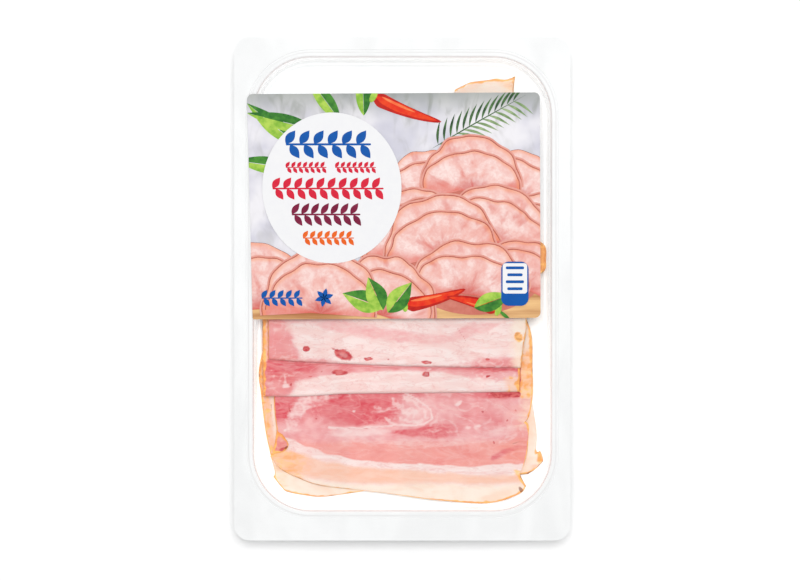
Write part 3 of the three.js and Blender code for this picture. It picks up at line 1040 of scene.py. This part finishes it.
def printed_ground():
    """A pale cloth above and a planed beech board below, as wide soft fields of colour."""
    look = printed("print_cloth_and_board")
    height = look.node("SeparateXYZ", {"Vector": look.place()}).outputs["Y"]
    cloth = look.mixed(look.ranged(look.grain(22), 0.35, 0.65), "#BDBCC7", "#DAD8DC")
    weave = look.ranged(look.grain(6, stretch=(1, 0.4, 1), distortion=1), 0.45, 0.75)
    cloth = look.mixed(look.part(weave, 0.35), cloth, "#9A9895")
    streak = look.ranged(look.grain(9, stretch=(0.12, 1.6, 1), detail=5), 0.35, 0.65)
    board = look.mixed(streak, "#A26A43", "#E0B882")
    far = look.ranged(look.worked("ADD", height, look.part(weave, 0.004)), 0.068, 0.083)
    cloth = look.mixed(look.part(far, 0.6), cloth, "#66705F")
    body = look.mixed(look.ranged(height, 0.004, 0.0025), cloth, board)
    return look.toned(body)


def printed_ink(name, dark, light):
    """One colour with a soft mottle."""
    look = printed(name)
    mottle = look.ranged(look.grain(3, detail=4), 0.3, 0.7)
    return look.toned(look.mixed(mottle, dark, light))


def printed_slice():
    """Print of a thin folded slice: pale pink with a soft grain, red in the fold and orange towards
    the rind. UV runs round the slice, and from its middle outwards."""
    look = printed("print_folded_slice")
    spread = look.node("UVMap", uv_map="UVMap").outputs["UV"]
    parts = look.node("SeparateXYZ", {"Vector": spread})
    fibre = look.grain(1.6, detail=6, distortion=1)
    cloud = look.grain(11, detail=4, distortion=1.2)
    wander = look.part(look.worked("SUBTRACT", fibre, 0.5), 0.08)
    outward = look.worked("ADD", parts.outputs["Y"], wander)
    drift = look.node("Mapping", {"Vector": look.place(), "Scale": (60, 60, 0)})
    fan = look.node("Mapping", {"Vector": spread, "Scale": (6, 0.8, 1)})
    fan = look.node("VectorMath", {0: fan.outputs[0], 1: drift.outputs[0]}, operation="ADD")
    fold = look.node("TexNoise", {"Vector": fan.outputs[0], "Scale": 1, "Detail": 3})
    crease = fold.outputs["Fac"]
    side = look.off_middle(parts.outputs["X"])
    body = look.mixed(look.ranged(cloud, 0.3, 0.7), "#DBA69D", "#E2C9C4")
    for value, edge, full, share, tone in (
        (crease, 0.5, 0.3, 0.7, "#E5D1CC"),
        (crease, 0.52, 0.7, 0.6, "#C86D63"),
        (fibre, 0.62, 0.38, 0.22, "#CC7C75"),
        (outward, 0.5, 0.05, 0.75, "#B83E36"),
        (side, 0.36, 0.5, 0.6, "#CB523F"),
        (outward, 0.9, 0.995, 0.5, "#DB8250"),
    ):
        body = look.mixed(look.part(look.ranged(value, edge, full), share), body, tone)
    return look.toned(body)


INKS = {
    "white": ("#D9D9DB", "#DBDBDC"),
    "blue": ("#084B95", "#0A509C"),
    "red": ("#BF1B33", "#C72339"),
    "plum": ("#6C1534", "#771C3C"),
    "orange": ("#D25718", "#D76122"),
    "leaf_light": ("#74A435", "#A6C352"),
    "leaf_dark": ("#286227", "#488631"),
    "sprig": ("#2A452E", "#4E7042"),
    "sprig_light": ("#658054", "#97AA7F"),
    "pepper_dark": ("#A21915", "#B82619"),
    "pepper": ("#CE2619", "#D7431E"),
    "pepper_light": ("#DD6136", "#E27F50"),
    "rind": ("#702A1D", "#974935"),
    "shade": ("#B8685A", "#C27668"),
    "shade_soft": ("#CB8C80", "#D3988C"),
}


class Print:
    """The label's print as one mesh in millimetres, a slot for each ink. Each shape lies a hair above
    the ones before it."""

    def __init__(self):
        self.bm = bmesh.new()
        self.bm.loops.layers.uv.new("UVMap")
        self.slots = ["slice", *INKS]
        self.height = TRAY_HEIGHT + FILM + LABEL

    def place(self, verts, centre, turn, ink, rise=PRINT_STEP):
        """Gives a shape its ink and moves it to its place on the label."""
        for face in {face for vert in verts for face in vert.link_faces}:
            face.material_index = self.slots.index(ink)
        self.height += rise
        bmesh.ops.rotate(self.bm, cent=(0, 0, 0), matrix=Matrix.Rotation(turn, 3, "Z"), verts=verts)
        bmesh.ops.translate(self.bm, vec=(*centre, self.height), verts=verts)

    def patch(self, columns, rows, shape, *where, rise=PRINT_STEP, uvs=False):
        """A grid bent by shape, which takes shares along and across it, at a centre, turn and ink."""
        made = bmesh.ops.create_grid(
            self.bm, x_segments=columns, y_segments=rows, size=0.5, calc_uvs=uvs
        )["verts"]
        for vert in made:
            vert.co.xy = shape(vert.co.x + 0.5, vert.co.y + 0.5)
        self.place(made, *where, rise)

    def oval(self, centre, half_length, half_height, ink, turn=0):
        made = bmesh.ops.create_circle(self.bm, cap_ends=True, segments=72, radius=1)["verts"]
        bmesh.ops.scale(self.bm, vec=(half_length, half_height, 1), verts=made)
        self.place(made, centre, turn, ink)

    def bar(self, centre, length, height, rounding, ink):
        """A rectangle with round corners."""
        before = set(self.bm.verts)
        rounded_plate(self.bm, length, height, rounding, 0, 0, LABEL_CORNER_STEPS)
        made = [vert for vert in self.bm.verts if vert not in before]
        self.place(made, centre, 0, ink)

    def petal(self, centre, length, width, turn, ink, rise=PRINT_STEP):
        """A plain pointed leaf in one ink."""

        def shape(along, across):
            return length * along, (across - 0.5) * (width * math.sin(math.pi * along ** 0.85))

        self.patch(14, 2, shape, centre, turn, ink, rise=rise)

    def garland(self, centre, length, height, leaves, ink):
        """A row of leaves along both sides of a stem. They don't meet, so they share one level."""
        x, y = centre
        step = length / (leaves + 0.6)
        slant = 0.95
        reach = height / 2 / math.sin(slant)
        self.height += PRINT_STEP
        for i in range(leaves):
            foot = x - length / 2 + step * i
            self.petal((foot, y + 0.03 * height), reach, step * 0.62, slant, ink, rise=0)
            self.petal((foot + step * 0.3, y - 0.03 * height), reach, step * 0.62, -slant, ink, rise=0)
        self.bar((x - 0.3 * step, y), length - 0.6 * step, height * 0.08, height * 0.035, ink)

    def rosette(self, centre, radius, ink):
        self.height += PRINT_STEP
        for i in range(6):
            self.petal(centre, radius, radius * 0.48, math.pi / 3 * i + 0.3, ink, rise=0)

    def half_leaf(self, centre, length, width, turn, ink):
        """One side of a pointed leaf, its midrib along the turn's direction."""

        def shape(along, across):
            belly = math.sin(math.pi * along ** 0.8)
            return length * along, width * (across * belly + 0.03 * math.sin(math.pi * along))

        self.patch(24, 2, shape, centre, turn, ink)

    def leaf(self, centre, length, width, turn):
        self.half_leaf(centre, length, width, turn, "leaf_light")
        self.half_leaf(centre, length, -width, turn, "leaf_dark")

    def half_moon(self, centre, half_length, height, turn, seed, ink="slice"):
        """Half an oval with a rough round edge. UV runs round it, and from its middle outwards."""

        def shape(along, out):
            angle = math.pi * along
            rough = 1 + 0.09 * blurred(3 * math.cos(angle), 3 * math.sin(angle), 1.1, seed)
            return -half_length * out * math.cos(angle) * rough, height * out * math.sin(angle) * rough

        self.patch(48, 8, shape, centre, turn, ink, uvs=True)

    def folded_slice(self, centre, half_length, height, turn, seed, shaded=True):
        """A slice folded in two: its back leaf and its front leaf, each with a thin dark rind; the front
        leaf, and the back leaf when shaded, with a soft shade on what lies behind it."""
        x, y = centre
        leaves = [
            ((x, y), half_length, height, turn, seed),
            ((x, y - 0.5), half_length * 0.95, height * 0.76, turn - 0.12, seed + 5),
        ]
        for i, (place, long, high, lean, kind) in enumerate(leaves):
            rims = [(1.1, "shade_soft"), (0.5, "shade"), (0.16, "rind")]
            for rim, ink in rims if shaded or i else rims[2:]:
                self.half_moon(place, long + rim, high + rim, lean, kind, ink)
            self.half_moon(place, long, high, lean, kind)

    def pod(self, centre, length, width, turn):
        """A long red pepper with a green cap, light along its back."""
        for start, end, share, lift, ink in (
            (0, 1, 1, 0, "pepper_dark"),
            (0.02, 0.95, 0.74, 0.06, "pepper"),
            (0.1, 0.62, 0.2, 0.24, "pepper_light"),
        ):

            def shape(share_along, across):
                along = start + (end - start) * share_along
                belly = width * min(1, math.sqrt(along / 0.12)) * (1 - along) ** 0.5
                if lift:
                    belly *= math.sin(math.pi * share_along) ** 0.5
                middle = 0.14 * length * along ** 2 + lift * width * (1 - along) ** 0.5
                return length * along, middle + belly * share * (across - 0.5)

            self.patch(30, 4, shape, centre, turn, ink)
        self.petal(centre, length * 0.34, width * 0.24, turn + math.pi - 0.3, "leaf_dark")
        self.oval(centre, width * 0.2, width * 0.42, "leaf_light", turn)

    def clip(self):
        """Cuts the print off at the label's four edges and across its rounded corners."""
        middle = sum((Vector(corner) for corner in LABEL_CORNERS), Vector((0, 0))) / 4
        for i, corner in enumerate(LABEL_CORNERS):
            corner = Vector(corner)
            after = Vector(LABEL_CORNERS[(i + 1) % 4])
            outward = Vector((after.y - corner.y, corner.x - after.x)).normalized()
            self.cut(corner, outward)
            diagonal = (corner - middle).normalized()
            self.cut(corner - diagonal * LABEL_CORNER_CUT * LABEL_ROUNDINGS[i], diagonal)

    def cut(self, point, outward):
        bmesh.ops.bisect_plane(
            self.bm,
            geom=self.bm.verts[:] + self.bm.edges[:] + self.bm.faces[:],
            plane_co=(*point, 0),
            plane_no=(*outward, 0),
            clear_outer=True,
        )


def make_label_sheet():
    bm = bmesh.new()
    verts = [bm.verts.new((*corner, TRAY_HEIGHT + FILM)) for corner in LABEL_CORNERS]
    bm.faces.new(verts)
    for vert, rounding in zip(verts, LABEL_ROUNDINGS):
        round_corners(bm, [vert], rounding, LABEL_CORNER_STEPS)
    top = bmesh.ops.extrude_face_region(bm, geom=bm.faces[:], use_keep_orig=True)["geom"]
    raised = [item for item in top if isinstance(item, bmesh.types.BMVert)]
    bmesh.ops.translate(bm, vec=(0, 0, LABEL), verts=raised)
    bmesh.ops.recalc_face_normals(bm, faces=bm.faces)
    finished("label_sheet", bm, [printed_ground()], replaces="label")


def make_label_print():
    sheet = Print()

    for centre, length, width, turn in (
        ((-44, 60), 27, 3.6, 2.45),
        ((-36, 66), 30, 3.4, 2.9),
        ((-26, 70), 24, 3.2, 2.2),
        ((-46, 50), 24, 3.4, 3.0),
        ((-16, 72), 20, 3.0, 1.6),
    ):
        sheet.leaf(centre, length, width, turn)
    for i in range(13):
        stem = (15 + 2.6 * i, 60 + 1.5 * i)
        sheet.half_leaf(stem, 10, 1.1, 1.5 - 0.05 * i, "sprig")
        sheet.half_leaf(stem, 10, 1.1, -0.1 - 0.04 * i, "sprig_light")
    sheet.half_leaf((12, 58), 46, 0.5, 0.52, "sprig")
    sheet.pod((-12, 80), 30, 6.5, -0.5)

    sheet.oval((30, 16), 34, 27, "shade")
    for centre, half_length, height, turn, seed, shaded in (
        ((10, 38), 19, 19, 0.35, 1, False),
        ((48, 38), 19, 19, -0.4, 2, False),
        ((29, 41), 21, 22, 0.05, 3, True),
        ((4, 20), 21, 21, 0.5, 4, True),
        ((56, 19), 21, 20, -0.5, 5, True),
        ((38, 20), 23, 22, -0.15, 6, True),
        ((17, 14), 24, 24, 0.25, 7, True),
        ((50, 1), 20, 19, -0.35, 8, True),
        ((27, -2), 25, 21, 0.0, 9, True),
        ((-58, -8), 20, 28, 0.2, 10, False),
        ((-8, -11), 21, 24, -0.2, 11, True),
        ((-34, -10), 24, 27, 0.05, 12, True),
    ):
        sheet.folded_slice(centre, half_length, height, turn, seed, shaded)
    sheet.pod((1, -7), 26, 6.6, 0.12)
    sheet.pod((40, -9), 22, 6, 2.75)
    sheet.leaf((-8, -8), 18, 4.4, 2.8)
    sheet.leaf((-8, -9), 15, 4.2, 2.0)
    sheet.leaf((-6, -10), 16, 4.2, 0.9)
    sheet.leaf((30, -8), 16, 3.8, 0.35)

    sheet.oval((-29.3, 41.9), 29, 31.4, "white")
    sheet.garland((-29.0, 60), 39, 11, 6, "blue")
    sheet.garland((-39.3, 50.4), 18.4, 4.6, 7, "red")
    sheet.garland((-18.7, 50.4), 18.4, 4.6, 7, "red")
    sheet.garland((-29.5, 41.6), 49, 8.7, 10, "red")
    sheet.garland((-30.5, 30.8), 31, 9, 7, "plum")
    sheet.garland((-29.8, 21.0), 23, 5.8, 7, "orange")
    sheet.garland((-49, -4.0), 19, 6.4, 5, "blue")
    sheet.rosette((-32.5, -3.8), 4, "blue")

    sheet.bar((46.9, 2.0), 11.4, 18.4, 3.2, "blue")
    sheet.bar((46.9, 4.2), 10.2, 12.6, 1.2, "white")
    for i in range(4):
        sheet.bar((46.9, 8.6 - 2.9 * i), 7.6 - 1.2 * (i % 2), 1.2, 0.5, "blue")
    sheet.clip()

    inks = [printed_slice(), *(printed_ink(f"ink_{name}", *tones) for name, tones in INKS.items())]
    finished("label_print", sheet.bm, inks)


make_studio()
make_tray()
make_slices(smoked_meat())
make_film()
make_label_sheet()
make_label_print()
